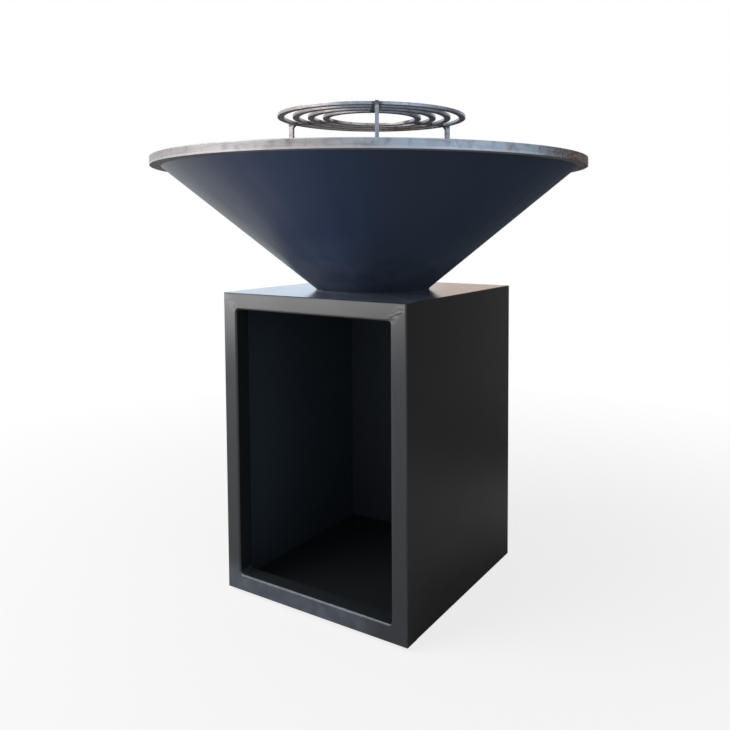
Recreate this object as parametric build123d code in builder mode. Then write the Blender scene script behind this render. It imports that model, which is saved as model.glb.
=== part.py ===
from build123d import *

import os
from math import hypot, radians, sqrt, tan

# Wood-fired plancha grill on an open log-store pedestal.
#
# A square steel pedestal with an open front holds split logs. A conical fire bowl is bolted to its
# top. A thick steel ring lies loose on the bowl's rim as the cooking surface, and a raised grate of
# flat rings stands loose over the hole in its middle.
#
# Millimetres, +Z up. The origin is on the floor under the bowl's axis, and the open front faces -Y.

# Pedestal
base_width = 492.0  # outside, both ways
base_height = 691.0  # underside of the floor panel to the top
frame_face = 38.0  # front frame tube, width of its face
frame_depth = 38.0  # front frame tube, front to back
frame_wall = 2.5
frame_edge_radius = 5.0  # rolled front edges of the tube
panel_sheet = 3.0  # sides, back and floor
top_sheet = 4.0  # top panel, which carries the bowl
beam_tube = 30.0  # square tube under the top panel, below the bowl's bolts
beam_wall = 2.0

# Feet
foot_diameter = 50.0
foot_height = 8.0
foot_inset = 22.0  # centre of a front foot behind the front frame
foot_edge_chamfer = 1.0
foot_screw_diameter = 6.0
foot_head_height = 3.0  # countersunk head
foot_head_taper = 45.0  # degrees
foot_head_recess = 1.0  # head of the screw above the ground
foot_nut_margin = 2.0  # flats of the nut outside its screw
foot_nut_height = 5.0
foot_screw_tail = 2.0  # end of the screw past its nut

# Fire bowl
bowl_foot_diameter = 265.0  # outside
bowl_height = 282.0
bowl_wall = 4.0
bowl_floor_thickness = 6.0
rim_ring_width = 35.0  # flat ring inside the rim, under the cooking plate
rim_ring_thickness = 6.0
weld_gap = 0.2  # room left at a welded edge

# Bolts that hold the bowl to the pedestal
bolt_diameter = 10.0
bolt_inset = 36.0  # bolt's centre from the bowl's wall
bolt_head_margin = 3.5  # flats of the head and the nut outside the bolt
bolt_head_height = 6.4
washer_margin = 5.0  # rim of the washer outside the bolt
washer_thickness = 2.0
nut_height = 8.0
bolt_tail = 3.0  # end of the bolt past its nut
hole_clearance = 0.5  # radial, of a screw in a plain hole
thread_clearance = 0.1  # radial, of a screw in its nut

# Cooking plate
plate_diameter = 1000.0
plate_overhang = 23.5  # past the bowl's rim
plate_thickness = 19.0
plate_edge_radius = 1.5
lug_count = 4
lug_length = 40.0  # along the rim
lug_width = 10.0  # towards the axis
lug_height = 18.0
lug_clearance = 2.0  # lug corner to the bowl's rim ring

# Grate
grate_diameter = 442.0
ring_count = 4
ring_width = 15.0
ring_pitch = 35.0
ring_thickness = 7.0
ring_edge_chamfer = 0.8
grate_clearance = 101.0  # cooking plate to the underside of the rings
arm_width = 18.0
arm_recess = 1.0  # arms above the rings' underside and below their top
leg_count = 3
leg_depth = 12.0  # towards the axis
leg_thickness = 8.0  # across
leg_margin = 26.0  # leg to the edge of the cooking plate's hole
leg_seat_width = 8.0  # ledge on the leg under the outer ring, towards the axis
leg_seat_height = 7.0
bar_edge_chamfer = 0.6
first_leg_angle = -53.0  # degrees from +X

# Levels that the pieces share
base_bottom = foot_height
base_top = base_bottom + base_height
floor_top = base_bottom + panel_sheet
top_underside = base_top - top_sheet
beam_underside = top_underside - beam_tube
bowl_floor_top = base_top + bowl_floor_thickness
bowl_rim = base_top + bowl_height
plate_top = bowl_rim + plate_thickness
ring_underside = plate_top + grate_clearance
grate_top = ring_underside + ring_thickness

# Places that the pieces share
base_half = base_width / 2
inside_half = base_half - panel_sheet
frame_back = frame_depth - base_half
panel_depth = base_half - frame_back
floor_depth = inside_half - frame_back
floor_middle = (inside_half + frame_back) / 2
base_middle = (base_bottom + base_top) / 2
foot_spacing = -2 * (frame_back + foot_inset)
grate_radius = grate_diameter / 2
plate_hole_radius = grate_radius - leg_margin

# Slope of the bowl's wall
bowl_foot_radius = bowl_foot_diameter / 2
bowl_rim_radius = plate_diameter / 2 - plate_overhang
bowl_run = bowl_rim_radius - bowl_foot_radius
wall_run = bowl_wall * hypot(bowl_run, bowl_height) / bowl_height  # wall measured level


def bowl_inside(level):
    """Radius of the bowl's inner face at a level."""
    return bowl_foot_radius - wall_run + bowl_run * (level - base_top) / bowl_height


# Side of the square that has one of the bowl's bolts at each corner
bolt_spacing = sqrt(2) * (bowl_inside(base_top) - bolt_inset)


def save(piece, node_name):
    """Labels a finished piece and writes it as its own STEP file."""
    piece.part.label = node_name
    export_step(piece.part, f"parts/{node_name}.step")


os.makedirs("parts", exist_ok=True)

# Front frame: four mitred tubes, rounded at the front and ground flush with the panels behind.
# Across a stile's section the front is the low Y, and across a rail's it is the sketch's low X.
for node_name, side in (("frame_left_stile", -1), ("frame_right_stile", 1)):
    with BuildPart() as stile:
        with BuildSketch(Plane.XY.offset(base_bottom)) as stile_section:
            with Locations((side * (base_half - frame_face / 2), frame_back - frame_depth / 2)):
                Rectangle(frame_face, frame_depth)
            fillet(stile_section.vertices().group_by(Axis.Y)[0], frame_edge_radius)
            offset(amount=-frame_wall, kind=Kind.INTERSECTION, mode=Mode.SUBTRACT)
        extrude(amount=base_height)
        for level, up in ((base_bottom, -1), (base_top, 1)):
            mitre = Plane((side * base_half, 0, level), x_dir=(0, 1, 0), z_dir=(-side, 0, up))
            split(bisect_by=mitre, keep=Keep.BOTTOM)
    save(stile, node_name)

for node_name, level, up in (("frame_bottom_rail", base_bottom, -1), ("frame_top_rail", base_top, 1)):
    with BuildPart() as rail:
        with BuildSketch(Plane.YZ.offset(-base_half)) as rail_section:
            with Locations((frame_back - frame_depth / 2, level - up * frame_face / 2)):
                Rectangle(frame_depth, frame_face)
            fillet(rail_section.vertices().group_by(Axis.X)[0], frame_edge_radius)
            offset(amount=-frame_wall, kind=Kind.INTERSECTION, mode=Mode.SUBTRACT)
        extrude(amount=base_width)
        for side in (-1, 1):
            mitre = Plane((side * base_half, 0, level), x_dir=(0, 1, 0), z_dir=(-side, 0, up))
            split(bisect_by=mitre, keep=Keep.TOP)
    save(rail, node_name)

# Sheet panels behind the frame, welded to it and to one another along their edges
for node_name, side in (("left_side_panel", -1), ("right_side_panel", 1)):
    with BuildPart() as side_panel:
        with Locations((side * (base_half - panel_sheet / 2), base_half - panel_depth / 2, base_middle)):
            Box(panel_sheet, panel_depth, base_height)
    save(side_panel, node_name)

with BuildPart() as back_panel:
    with Locations((0, base_half - panel_sheet / 2, base_middle)):
        Box(2 * inside_half, panel_sheet, base_height)
save(back_panel, "back_panel")

with BuildPart() as floor_panel:
    with BuildSketch(Plane.XY.offset(base_bottom)):
        with Locations((0, floor_middle)):
            Rectangle(2 * inside_half, floor_depth)
        with GridLocations(foot_spacing, foot_spacing, 2, 2):
            Circle(foot_screw_diameter / 2 + hole_clearance, mode=Mode.SUBTRACT)
    extrude(amount=panel_sheet)
save(floor_panel, "floor_panel")

with BuildPart() as top_panel:
    with BuildSketch(Plane.XY.offset(top_underside)):
        with Locations((0, floor_middle)):
            Rectangle(2 * inside_half, floor_depth)
        with GridLocations(bolt_spacing, bolt_spacing, 2, 2):
            Circle(bolt_diameter / 2 + hole_clearance, mode=Mode.SUBTRACT)
    extrude(amount=top_sheet)
save(top_panel, "top_panel")

# Beams under the top panel, from the top rail to the back panel, drilled for the bowl's bolts
for node_name, side in (("bowl_beam_left", -1), ("bowl_beam_right", 1)):
    beam_place = side * bolt_spacing / 2
    with BuildPart() as beam:
        with BuildSketch(Plane.XZ.offset(-frame_back)):
            with Locations((beam_place, top_underside - beam_tube / 2)):
                Rectangle(beam_tube, beam_tube)
                Rectangle(beam_tube - 2 * beam_wall, beam_tube - 2 * beam_wall, mode=Mode.SUBTRACT)
        extrude(amount=-floor_depth)
        for bolt_place in (-bolt_spacing / 2, bolt_spacing / 2):
            with Locations((beam_place, bolt_place, top_underside)):
                Hole(bolt_diameter / 2 + hole_clearance)
    save(beam, node_name)

# Feet: rubber pads, each on a countersunk screw with its nut on the floor panel
foot_screw_radius = foot_screw_diameter / 2
foot_head_radius = foot_screw_radius + foot_head_height * tan(radians(foot_head_taper))
foot_head_top = foot_head_recess + foot_head_height
foot_nut_top = floor_top + foot_nut_height

with BuildPart() as foot_pads:
    with BuildSketch():
        with GridLocations(foot_spacing, foot_spacing, 2, 2):
            Circle(foot_diameter / 2)
    extrude(amount=foot_height)
    chamfer(foot_pads.edges().group_by(Axis.Z)[0], foot_edge_chamfer)
    with BuildSketch():
        with GridLocations(foot_spacing, foot_spacing, 2, 2):
            Circle(foot_head_radius + hole_clearance)
    extrude(amount=foot_head_recess, mode=Mode.SUBTRACT)
    with BuildSketch(Plane.XY.offset(foot_head_recess)):
        with GridLocations(foot_spacing, foot_spacing, 2, 2):
            Circle(foot_head_radius + hole_clearance)
    extrude(amount=foot_head_height, taper=foot_head_taper, mode=Mode.SUBTRACT)
    with BuildSketch(Plane.XY.offset(foot_head_top)):
        with GridLocations(foot_spacing, foot_spacing, 2, 2):
            Circle(foot_screw_radius + hole_clearance)
    extrude(amount=foot_height - foot_head_top, mode=Mode.SUBTRACT)
save(foot_pads, "foot_pads")

with BuildPart() as foot_screws:
    with BuildSketch(Plane.XY.offset(foot_head_recess)):
        with GridLocations(foot_spacing, foot_spacing, 2, 2):
            Circle(foot_head_radius)
    extrude(amount=foot_head_height, taper=foot_head_taper)
    with BuildSketch(Plane.XY.offset(foot_head_recess)):
        with GridLocations(foot_spacing, foot_spacing, 2, 2):
            Circle(foot_screw_radius)
    extrude(amount=foot_nut_top + foot_screw_tail - foot_head_recess)
save(foot_screws, "foot_screws")

with BuildPart() as foot_nuts:
    with BuildSketch(Plane.XY.offset(floor_top)):
        with GridLocations(foot_spacing, foot_spacing, 2, 2):
            RegularPolygon(foot_screw_radius + foot_nut_margin, 6, major_radius=False)
            Circle(foot_screw_radius + thread_clearance, mode=Mode.SUBTRACT)
    extrude(amount=foot_nut_height)
save(foot_nuts, "foot_nuts")

# Fire bowl: a rolled cone with a floor and a flat ring welded inside
with BuildPart() as bowl_shell:
    with BuildSketch(Plane.XZ):
        with BuildLine():
            Polyline(
                (bowl_foot_radius, base_top),
                (bowl_rim_radius, bowl_rim),
                (bowl_inside(bowl_rim), bowl_rim),
                (bowl_inside(base_top), base_top),
                close=True,
            )
        make_face()
    revolve(axis=Axis.Z)
save(bowl_shell, "bowl_shell")

with BuildPart() as bowl_floor:
    with BuildSketch(Plane.XY.offset(base_top)):
        Circle(bowl_inside(base_top) - weld_gap)
        with GridLocations(bolt_spacing, bolt_spacing, 2, 2):
            Circle(bolt_diameter / 2 + hole_clearance, mode=Mode.SUBTRACT)
    extrude(amount=bowl_floor_thickness)
save(bowl_floor, "bowl_floor")

rim_ring_underside = bowl_rim - rim_ring_thickness
rim_ring_inner_radius = bowl_inside(bowl_rim) - rim_ring_width
with BuildPart() as bowl_rim_ring:
    with BuildSketch(Plane.XZ):
        with BuildLine():
            Polyline(
                (rim_ring_inner_radius, rim_ring_underside),
                (bowl_inside(rim_ring_underside) - weld_gap, rim_ring_underside),
                (bowl_inside(bowl_rim) - weld_gap, bowl_rim),
                (rim_ring_inner_radius, bowl_rim),
                close=True,
            )
        make_face()
    revolve(axis=Axis.Z)
save(bowl_rim_ring, "bowl_rim_ring")

# Bolts from the bowl's floor down through the top panel and the beams
bolt_radius = bolt_diameter / 2
bolt_seat = bowl_floor_top + washer_thickness
lower_washer_underside = beam_underside - washer_thickness
nut_underside = lower_washer_underside - nut_height
bolt_end = nut_underside - bolt_tail

with BuildPart() as bowl_bolts:
    with BuildSketch(Plane.XY.offset(bolt_seat)):
        with GridLocations(bolt_spacing, bolt_spacing, 2, 2):
            RegularPolygon(bolt_radius + bolt_head_margin, 6, major_radius=False)
    extrude(amount=bolt_head_height)
    with BuildSketch(Plane.XY.offset(bolt_end)):
        with GridLocations(bolt_spacing, bolt_spacing, 2, 2):
            Circle(bolt_radius)
    extrude(amount=bolt_seat - bolt_end)
save(bowl_bolts, "bowl_bolts")

with BuildPart() as bowl_washers:
    for level in (bowl_floor_top, lower_washer_underside):
        with BuildSketch(Plane.XY.offset(level)):
            with GridLocations(bolt_spacing, bolt_spacing, 2, 2):
                Circle(bolt_radius + washer_margin)
                Circle(bolt_radius + hole_clearance, mode=Mode.SUBTRACT)
        extrude(amount=washer_thickness)
save(bowl_washers, "bowl_washers")

with BuildPart() as bowl_nuts:
    with BuildSketch(Plane.XY.offset(nut_underside)):
        with GridLocations(bolt_spacing, bolt_spacing, 2, 2):
            RegularPolygon(bolt_radius + bolt_head_margin, 6, major_radius=False)
            Circle(bolt_radius + thread_clearance, mode=Mode.SUBTRACT)
    extrude(amount=nut_height)
save(bowl_nuts, "bowl_nuts")

# Cooking plate, with lugs under it that keep it central on the bowl
with BuildPart() as cooking_plate:
    with BuildSketch(Plane.XY.offset(bowl_rim)):
        Circle(plate_diameter / 2)
        Circle(plate_hole_radius, mode=Mode.SUBTRACT)
    extrude(amount=plate_thickness)
    fillet(cooking_plate.edges().filter_by(GeomType.CIRCLE), plate_edge_radius)
save(cooking_plate, "cooking_plate")

lug_reach = sqrt((rim_ring_inner_radius - lug_clearance) ** 2 - (lug_length / 2) ** 2)
with BuildPart() as plate_lugs:
    with PolarLocations(lug_reach - lug_width / 2, lug_count):
        with Locations((0, 0, bowl_rim - lug_height / 2)):
            Box(lug_width, lug_length, lug_height)
save(plate_lugs, "plate_lugs")

# Grate: flat rings joined by radial arms, each arm a row of short bars between one ring and the next
for number in range(ring_count):
    ring_outer_radius = grate_radius - number * ring_pitch
    with BuildPart() as grate_ring:
        with BuildSketch(Plane.XY.offset(ring_underside)):
            Circle(ring_outer_radius)
            Circle(ring_outer_radius - ring_width, mode=Mode.SUBTRACT)
        extrude(amount=ring_thickness)
        chamfer(grate_ring.edges().filter_by(GeomType.CIRCLE), ring_edge_chamfer)
    save(grate_ring, f"grate_ring_{number + 1}")

for number in range(leg_count):
    radial = Plane.XY.rotated((0, 0, first_leg_angle + number * 360 / leg_count))
    with BuildPart() as grate_arm:
        for gap in range(ring_count - 1):
            gap_outer_radius = grate_radius - gap * ring_pitch - ring_width
            gap_inner_radius = grate_radius - (gap + 1) * ring_pitch
            with BuildSketch(radial.offset(ring_underside + arm_recess)):
                Circle(gap_outer_radius)
                Circle(gap_inner_radius, mode=Mode.SUBTRACT)
                with Locations(((gap_outer_radius + gap_inner_radius) / 2, 0)):
                    Rectangle(ring_pitch, arm_width, mode=Mode.INTERSECT)
            extrude(amount=ring_thickness - 2 * arm_recess)
    save(grate_arm, f"grate_arm_{number + 1}")

    # The leg stands outside the outer ring, which lies on a ledge at its top
    with BuildPart() as grate_leg:
        with BuildSketch(Plane(radial.origin, x_dir=radial.x_dir, z_dir=-radial.y_dir)):
            with BuildLine():
                Polyline(
                    (grate_radius, plate_top),
                    (grate_radius + leg_depth, plate_top),
                    (grate_radius + leg_depth, grate_top),
                    (grate_radius, grate_top),
                    (grate_radius, ring_underside),
                    (grate_radius - leg_seat_width, ring_underside),
                    (grate_radius, ring_underside - leg_seat_height),
                    close=True,
                )
            make_face()
        extrude(amount=leg_thickness / 2, both=True)
        chamfer(grate_leg.edges().filter_by(Axis.Z).group_by(SortBy.LENGTH)[-1], bar_edge_chamfer)
    save(grate_leg, f"grate_leg_{number + 1}")
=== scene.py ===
"""Pieces, finishes and stage for a wood-fired grill: a ring-shaped plate on a fire bowl, on a log store.

Every piece is in metres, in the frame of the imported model, and takes its place from that model.
"""
import math

import bmesh
import bpy
from mathutils import Matrix, Vector, noise


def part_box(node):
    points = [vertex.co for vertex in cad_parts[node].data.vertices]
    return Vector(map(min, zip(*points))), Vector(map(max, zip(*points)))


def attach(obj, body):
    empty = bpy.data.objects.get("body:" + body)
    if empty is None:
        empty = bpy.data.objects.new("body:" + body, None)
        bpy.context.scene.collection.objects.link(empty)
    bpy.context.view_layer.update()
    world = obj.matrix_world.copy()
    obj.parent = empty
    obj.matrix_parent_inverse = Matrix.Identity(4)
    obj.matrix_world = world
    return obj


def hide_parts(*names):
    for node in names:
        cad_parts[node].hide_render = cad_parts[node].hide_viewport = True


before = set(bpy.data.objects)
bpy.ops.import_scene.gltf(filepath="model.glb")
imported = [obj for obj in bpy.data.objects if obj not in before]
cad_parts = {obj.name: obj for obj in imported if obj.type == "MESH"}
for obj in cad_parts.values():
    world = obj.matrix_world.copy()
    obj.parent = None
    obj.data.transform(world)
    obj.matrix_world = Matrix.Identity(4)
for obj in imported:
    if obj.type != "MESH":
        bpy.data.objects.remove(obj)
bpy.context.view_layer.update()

bl_info = {
    "name": "Wood-fired grill",
    "version": (1, 0, 0),
    "blender": (4, 5, 0),
    "location": "3D View > Sidebar > Grill",
    "description": "Builds the grill's pieces and finishes round its packed model",
    "category": "Add Mesh",
}

MM = 0.001
# Points nearer than this are one and the same
TOUCHING = 0.01 * MM
PHOTO_PIXELS = 730
SENSOR_WIDTH = 36.0
UP = (0, 0, 1)


def linear(text):
    """An sRGB hex colour as linear red, green and blue."""
    shares = [int(text[i:i + 2], 16) / 255 for i in (0, 2, 4)]
    return tuple(s / 12.92 if s <= 0.04045 else ((s + 0.055) / 1.055) ** 2.4 for s in shares)


def opaque(colour):
    """A colour with full alpha, for a node's socket."""
    return (*colour, 1.0)


def metres(name, description, default):
    """A length in metres that the sidebar shows in the scene's units."""
    return bpy.props.FloatProperty(
        name=name, description=description, default=default, min=0.0, unit="LENGTH")


def hex_colour(name, description, text):
    """A colour, given as sRGB hex."""
    return bpy.props.FloatVectorProperty(
        name=name, description=description, default=linear(text), size=3, min=0.0, max=1.0, subtype="COLOR")


class GrillSizes(bpy.types.PropertyGroup):
    """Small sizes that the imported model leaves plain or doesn't state."""

    tube_round: metres("Tube rounding", "Radius of the frame's edges round the opening", 5 * MM)
    frame_round: metres("Frame rounding", "Radius of the frame's ground outer edges", 2.5 * MM)
    corner_weld: metres("Corner weld", "Radius of the weld in each corner of the opening", 7 * MM)
    mitre_groove: metres("Mitre groove", "Depth of the fine line along each mitre", 0.3 * MM)
    sheet_round: metres("Sheet rounding", "Radius of the pedestal's outer sheet edges", 1.2 * MM)
    bowl_wall: metres("Bowl wall", "Sheet thickness of the fire bowl", 4 * MM)
    bowl_round: metres("Bowl rounding", "Radius of the fire bowl's edges", 0.8 * MM)
    foot_round: metres("Foot rounding", "Radius of the bowl's outer edge at its foot", 2.5 * MM)
    seal_radius: metres("Seal bead", "Radius of the bead round the fire bowl's foot", 3 * MM)
    plate_hole: metres("Plate hole", "Radius of the hole in the cooking plate", 195 * MM)
    plate_round: metres("Plate rounding", "Radius of the cooking plate's broken edges", 1.4 * MM)
    plate_waver: metres("Plate waver", "How far the flame-cut rim wanders inwards", 0.5 * MM)
    ring_width: metres("Ring width", "Width of each flat ring of the grate", 15 * MM)
    arm_width: metres("Arm width", "Width of the short bars between the grate's rings", 18 * MM)
    leg_width: metres("Leg width", "Width of a leg across the grate's radius", 8 * MM)
    leg_depth: metres("Leg depth", "Depth of a leg along the grate's radius", 12 * MM)
    seat_width: metres("Seat width", "Width of the ledge on a leg under the outer ring", 8 * MM)
    seat_height: metres("Seat height", "Height of the ledge on a leg under the outer ring", 7 * MM)
    bar_round: metres("Bar rounding", "Radius of the grate bars' edges", 0.8 * MM)
    bead_radius: metres("Weld bead", "Radius of the grate's weld beads", 1.5 * MM)
    round_steps: bpy.props.IntProperty(
        name="Round steps", description="Straight pieces in a full circle", default=192, min=24, max=512)


class GrillColours(bpy.types.PropertyGroup):
    """Colours of the finishes."""

    coat: hex_colour("Coat", "Satin black powder coat of the pedestal", "24272B")
    # Painted shade: the sides and back are a darker copy of the coat
    shaded_side_coat: hex_colour("Side coat", "Satin black coat of the pedestal's sides and back", "191818")
    # Painted light: a lighter, bluer coat inside the log store stands in for bluish light reflected there
    lit_inside_coat: hex_colour("Dry coat", "Thin blue-black coat inside the log store", "343F4A")
    # Painted shade: a near-black coat on the store's floor and the opening's inner faces
    shaded_coat: hex_colour("Stained coat", "Sooty, bark-stained coat on the store's floor", "101417")
    # Painted light: a lighter, bluer coat on the store's back wall
    lit_back_coat: hex_colour("Smoked coat", "Coat on the log store's back, dulled by smoke", "222A33")
    # Painted reflection as well as dust: the bluish tone stands in for the floor mirrored low on the frame
    # and the bowl
    dust_and_reflection: hex_colour("Dust", "Dust on the coat near the ground and at the bowl's foot", "626C7A")
    # Painted light as well as ash: it lightens the pedestal's top where the bowl shades it
    ash: hex_colour("Ash", "Fine wood ash on the pedestal's top", "8E97A6")
    bowl: hex_colour("Bowl", "Blue-black heat-proof paint of the fire bowl", "1E2939")
    # Painted reflection: a bluer patch that stands in for the surroundings mirrored on the bowl
    bowl_reflected_blue: hex_colour("Bowl bloom", "Bluer bloom in the fire bowl's paint", "243150")
    # Painted reflection: teal along the bowl's far left edge, where the paint mirrors the surroundings
    bowl_reflected_teal: hex_colour("Thin paint", "Teal where the bowl's paint is thin", "1A3644")
    bowl_sheen: hex_colour("Bowl sheen", "Blue tint of the paint's sheen", "CDDDF3")
    steel: hex_colour("Steel", "Bare cut rim of the cooking plate", "9A9695")
    # Painted reflection: bluer steel on the right of the plate's rim
    steel_reflecting_blue: hex_colour("Cool steel", "Bluer bare steel on the right of the plate's rim", "8B99A9")
    # Painted highlight: a lighter band along the lower edge of the plate's rim
    lip_highlight: hex_colour("Ground steel", "Ground lower lip of the plate's rim", "B7B6B8")
    bar: hex_colour("Bar steel", "Bare bars of the grate", "B2A9A7")
    # Painted reflection: bluer bars on the grate's right
    bar_reflecting_blue: hex_colour("Cool bar steel", "Bluer bare bars on the grate's right", "9AA6B6")
    # Painted light as well as scale: the bars' level faces are light so their undersides look lit from
    # below
    lit_bar_scale: hex_colour("Bar scale", "Mill scale on the level faces of the grate's bars", "B4B0B3")
    dull_steel: hex_colour("Dull steel", "Stains and drag lines on bare steel", "68666B")
    scale: hex_colour("Mill scale", "Dark grey scale from the rolling mill on the plate", "47484D")
    rust: hex_colour("Rust", "Light brown rust bloom", "75645A")
    old_rust: hex_colour("Old rust", "Dark brown rust", "2C231E")
    # Weld tint, also used as painted shade on and round the grate's arms
    heat: hex_colour("Heat tint", "Blue-brown tint round the grate's welds", "3A3537")
    zinc: hex_colour("Zinc", "Zinc plating of bolts, screws, nuts and washers", "B9BCC2")
    rubber: hex_colour("Rubber", "Rubber of the foot pads", "1B1B1B")
    floor: hex_colour("Floor", "Studio floor", "F0EFEE")


def is_output(value):
    """Whether a value is a node's output, which a socket is linked to."""
    return isinstance(value, bpy.types.NodeSocket)


def feed(tree, sockets, inputs):
    """Sets sockets to values or links them to other nodes' outputs."""
    for socket, value in inputs.items():
        if is_output(value):
            tree.links.new(value, sockets[socket])
        else:
            sockets[socket].default_value = value


def node(tree, kind, inputs=None, out=0, **settings):
    """Adds a shader node with its settings and inputs.

    It gives one of the node's outputs, or all of them where out is None.
    """
    made = tree.nodes.new("ShaderNode" + kind)
    for name, value in settings.items():
        setattr(made, name, value)
    feed(tree, made.inputs, inputs or {})
    return made.outputs if out is None else made.outputs[out]


def maths(tree, operation, *terms):
    """The result of an operation on numbers and nodes' outputs."""
    return node(tree, "Math", dict(enumerate(terms)), operation=operation)


def ramp(tree, value, start=0.0, end=1.0, low=0.0, high=1.0, shape="LINEAR"):
    """Goes from low to high while a value goes from start to end, and stays level outside."""
    stops = {"Value": value, "From Min": start, "From Max": end, "To Min": low, "To Max": high}
    return node(tree, "MapRange", stops, interpolation_type=shape)


def eased(tree, value, start, end, low=0.0, high=1.0):
    """A ramp that begins and ends softly."""
    return ramp(tree, value, start, end, low, high, "SMOOTHSTEP")


def blend(tree, share, first, second):
    """A mix of two colours, each given as red, green and blue or as a node's output."""
    # A Mix node has its colour sockets after those for numbers and vectors
    first_socket, second_socket, result = 6, 7, 2
    first, second = (part if is_output(part) else opaque(part) for part in (first, second))
    return node(tree, "Mix", {0: share, first_socket: first, second_socket: second}, result,
                data_type="RGBA")


def mottle(tree, where, size_mm, detail, roughness=0.5):
    """Noise with features about that many millimetres across."""
    pattern = {"Vector": where, "Scale": 1.0 / (size_mm * MM), "Detail": detail, "Roughness": roughness}
    return node(tree, "TexNoise", pattern)


def bump(tree, height, strength, depth, normal=None):
    """The normal of a surface that a height roughens, on top of another normal where one is given."""
    inputs = {"Height": height, "Strength": strength, "Distance": depth}
    if normal is not None:
        inputs["Normal"] = normal
    return node(tree, "Bump", inputs)


def upward(tree):
    """How far a face looks up: 1 for straight up, 0 for sideways and -1 for down."""
    normal = node(tree, "NewGeometry", out="Normal")
    return node(tree, "SeparateXYZ", {0: normal}, out="Z")


def level_direction(tree, place):
    """The direction from the middle to a place, seen from above and one unit long."""
    flat = node(tree, "VectorMath", {0: place, 1: (1.0, 1.0, 0.0)}, operation="MULTIPLY")
    return node(tree, "VectorMath", {0: flat}, operation="NORMALIZE")


def new_material(name):
    """A material, its node tree, its shader's inputs and the piece's Object coordinates."""
    material = bpy.data.materials.new(name)
    material.use_nodes = True
    tree = material.node_tree
    shader = tree.nodes["Principled BSDF"].inputs
    where = node(tree, "TexCoord", out="Object")
    return material, tree, shader, where


def powder_coat(place, base, smoothest, roughest, gloss=0.5, ground_welds=False, dust_and_reflection_foot=0.0,
                ash_and_light_top=0.0):
    """Polyester powder coat on sheet steel, sprayed and baked, in one of the sidebar's colours.

    It gives black with a satin sheen, faint orange peel and slightly buckled reflections, with dust and ash
    where they can lie, both lighter also as painted light. On the front frame the ground mitre welds show
    as uneven, shinier patches.
    """
    colours = bpy.context.scene.grill_colours
    material, tree, shader, where = new_material("powder_coat_" + place)
    x, _, z = node(tree, "SeparateXYZ", {0: where}, out=None)

    # Dust lies in clouds 35 mm across on the lowest 90 mm, less on the right, and ash on faces that look
    # up.
    # Both are also painted light: the bluish dust stands in for the floor's reflection on the frame's foot,
    # the ash for light on the top where the bowl shades it.
    clouds = mottle(tree, where, 35, 5.0)
    low_down = eased(tree, z, 90 * MM, 30 * MM, high=dust_and_reflection_foot)
    less_on_right = eased(tree, x, 190 * MM, 110 * MM, low=0.1)
    low_down = maths(tree, "MULTIPLY", low_down, less_on_right)
    facing_up = eased(tree, upward(tree), 0.7, 0.95, high=ash_and_light_top)
    dust_and_reflection_share = maths(tree, "MULTIPLY", clouds, low_down)
    colour = blend(tree, dust_and_reflection_share, getattr(colours, base), colours.dust_and_reflection)
    ash_and_light_share = maths(tree, "MULTIPLY", clouds, facing_up)
    colour = blend(tree, ash_and_light_share, colour, colours.ash)

    # The sheen changes slowly, over about 120 mm
    sheen = mottle(tree, where, 120, 3.0)
    roughness = ramp(tree, sheen, low=smoothest, high=roughest)

    # Orange peel is about 1.5 mm across, drawn at 4 mm so that it shows, and buckles are 220 mm across
    peel = mottle(tree, where, 4, 1.0)
    normal = bump(tree, peel, 0.12, 0.2 * MM)
    buckle = mottle(tree, where, 220, 0.0)
    normal = bump(tree, buckle, 0.5, 1.5 * MM, normal)

    if ground_welds:
        low, high = frame_box()
        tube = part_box("frame_left_stile")
        half_tube = (tube[1].x - tube[0].x) / 2
        # How far out a point is from the middle of a stile and of a rail, which is the same along the mitre
        side = maths(tree, "ABSOLUTE", x)
        side = maths(tree, "SUBTRACT", side, high.x - half_tube)
        level = maths(tree, "SUBTRACT", z, (low.z + high.z) / 2)
        level = maths(tree, "ABSOLUTE", level)
        level = maths(tree, "SUBTRACT", level, (high.z - low.z) / 2 - half_tube)
        apart = maths(tree, "SUBTRACT", side, level)
        apart = maths(tree, "ABSOLUTE", apart)
        near_mitre = eased(tree, apart, 20 * MM, 4 * MM)
        out = maths(tree, "MINIMUM", side, level)
        in_corner = eased(tree, out, -half_tube * 1.6, -half_tube)
        ground = maths(tree, "MULTIPLY", near_mitre, in_corner)
        # Grinding leaves lumps about 11 mm across
        lumps = mottle(tree, where, 11, 4.0)
        lumps = maths(tree, "SUBTRACT", lumps, 0.5)
        lumps = maths(tree, "MULTIPLY", lumps, ground)
        normal = bump(tree, lumps, 0.6, 1.2 * MM, normal)
        smoother = maths(tree, "MULTIPLY", ground, 0.08)
        roughness = maths(tree, "SUBTRACT", roughness, smoother)

    feed(tree, shader, {"Base Color": colour, "Roughness": roughness, "Normal": normal, "IOR": 1.46,
                        "Specular IOR Level": gloss})
    return material


def coat_on_tube():
    """The coat of the front frame."""
    # Dust on the frame's foot, lighter also as a painted reflection of the floor
    return powder_coat("on_tube", "coat", 0.2, 0.28, ground_welds=True, dust_and_reflection_foot=0.72)


def coat_on_sides():
    """The coat of the pedestal's upright outer faces, a little drier than on the tubes and darker as
    painted shade.
    """
    return powder_coat("on_sides", "shaded_side_coat", 0.28, 0.38, gloss=0.17)


def coat_on_top():
    """The coat of the pedestal's top, smooth enough to mirror at a grazing angle, with ash on it that also
    paints light where the bowl shades it.
    """
    return powder_coat("on_top", "coat", 0.11, 0.17, ash_and_light_top=1.3)


def coat_inside():
    """The coat inside the log store, lighter and bluer than outside as painted bluish light."""
    return powder_coat("inside", "lit_inside_coat", 0.5, 0.62)


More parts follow.
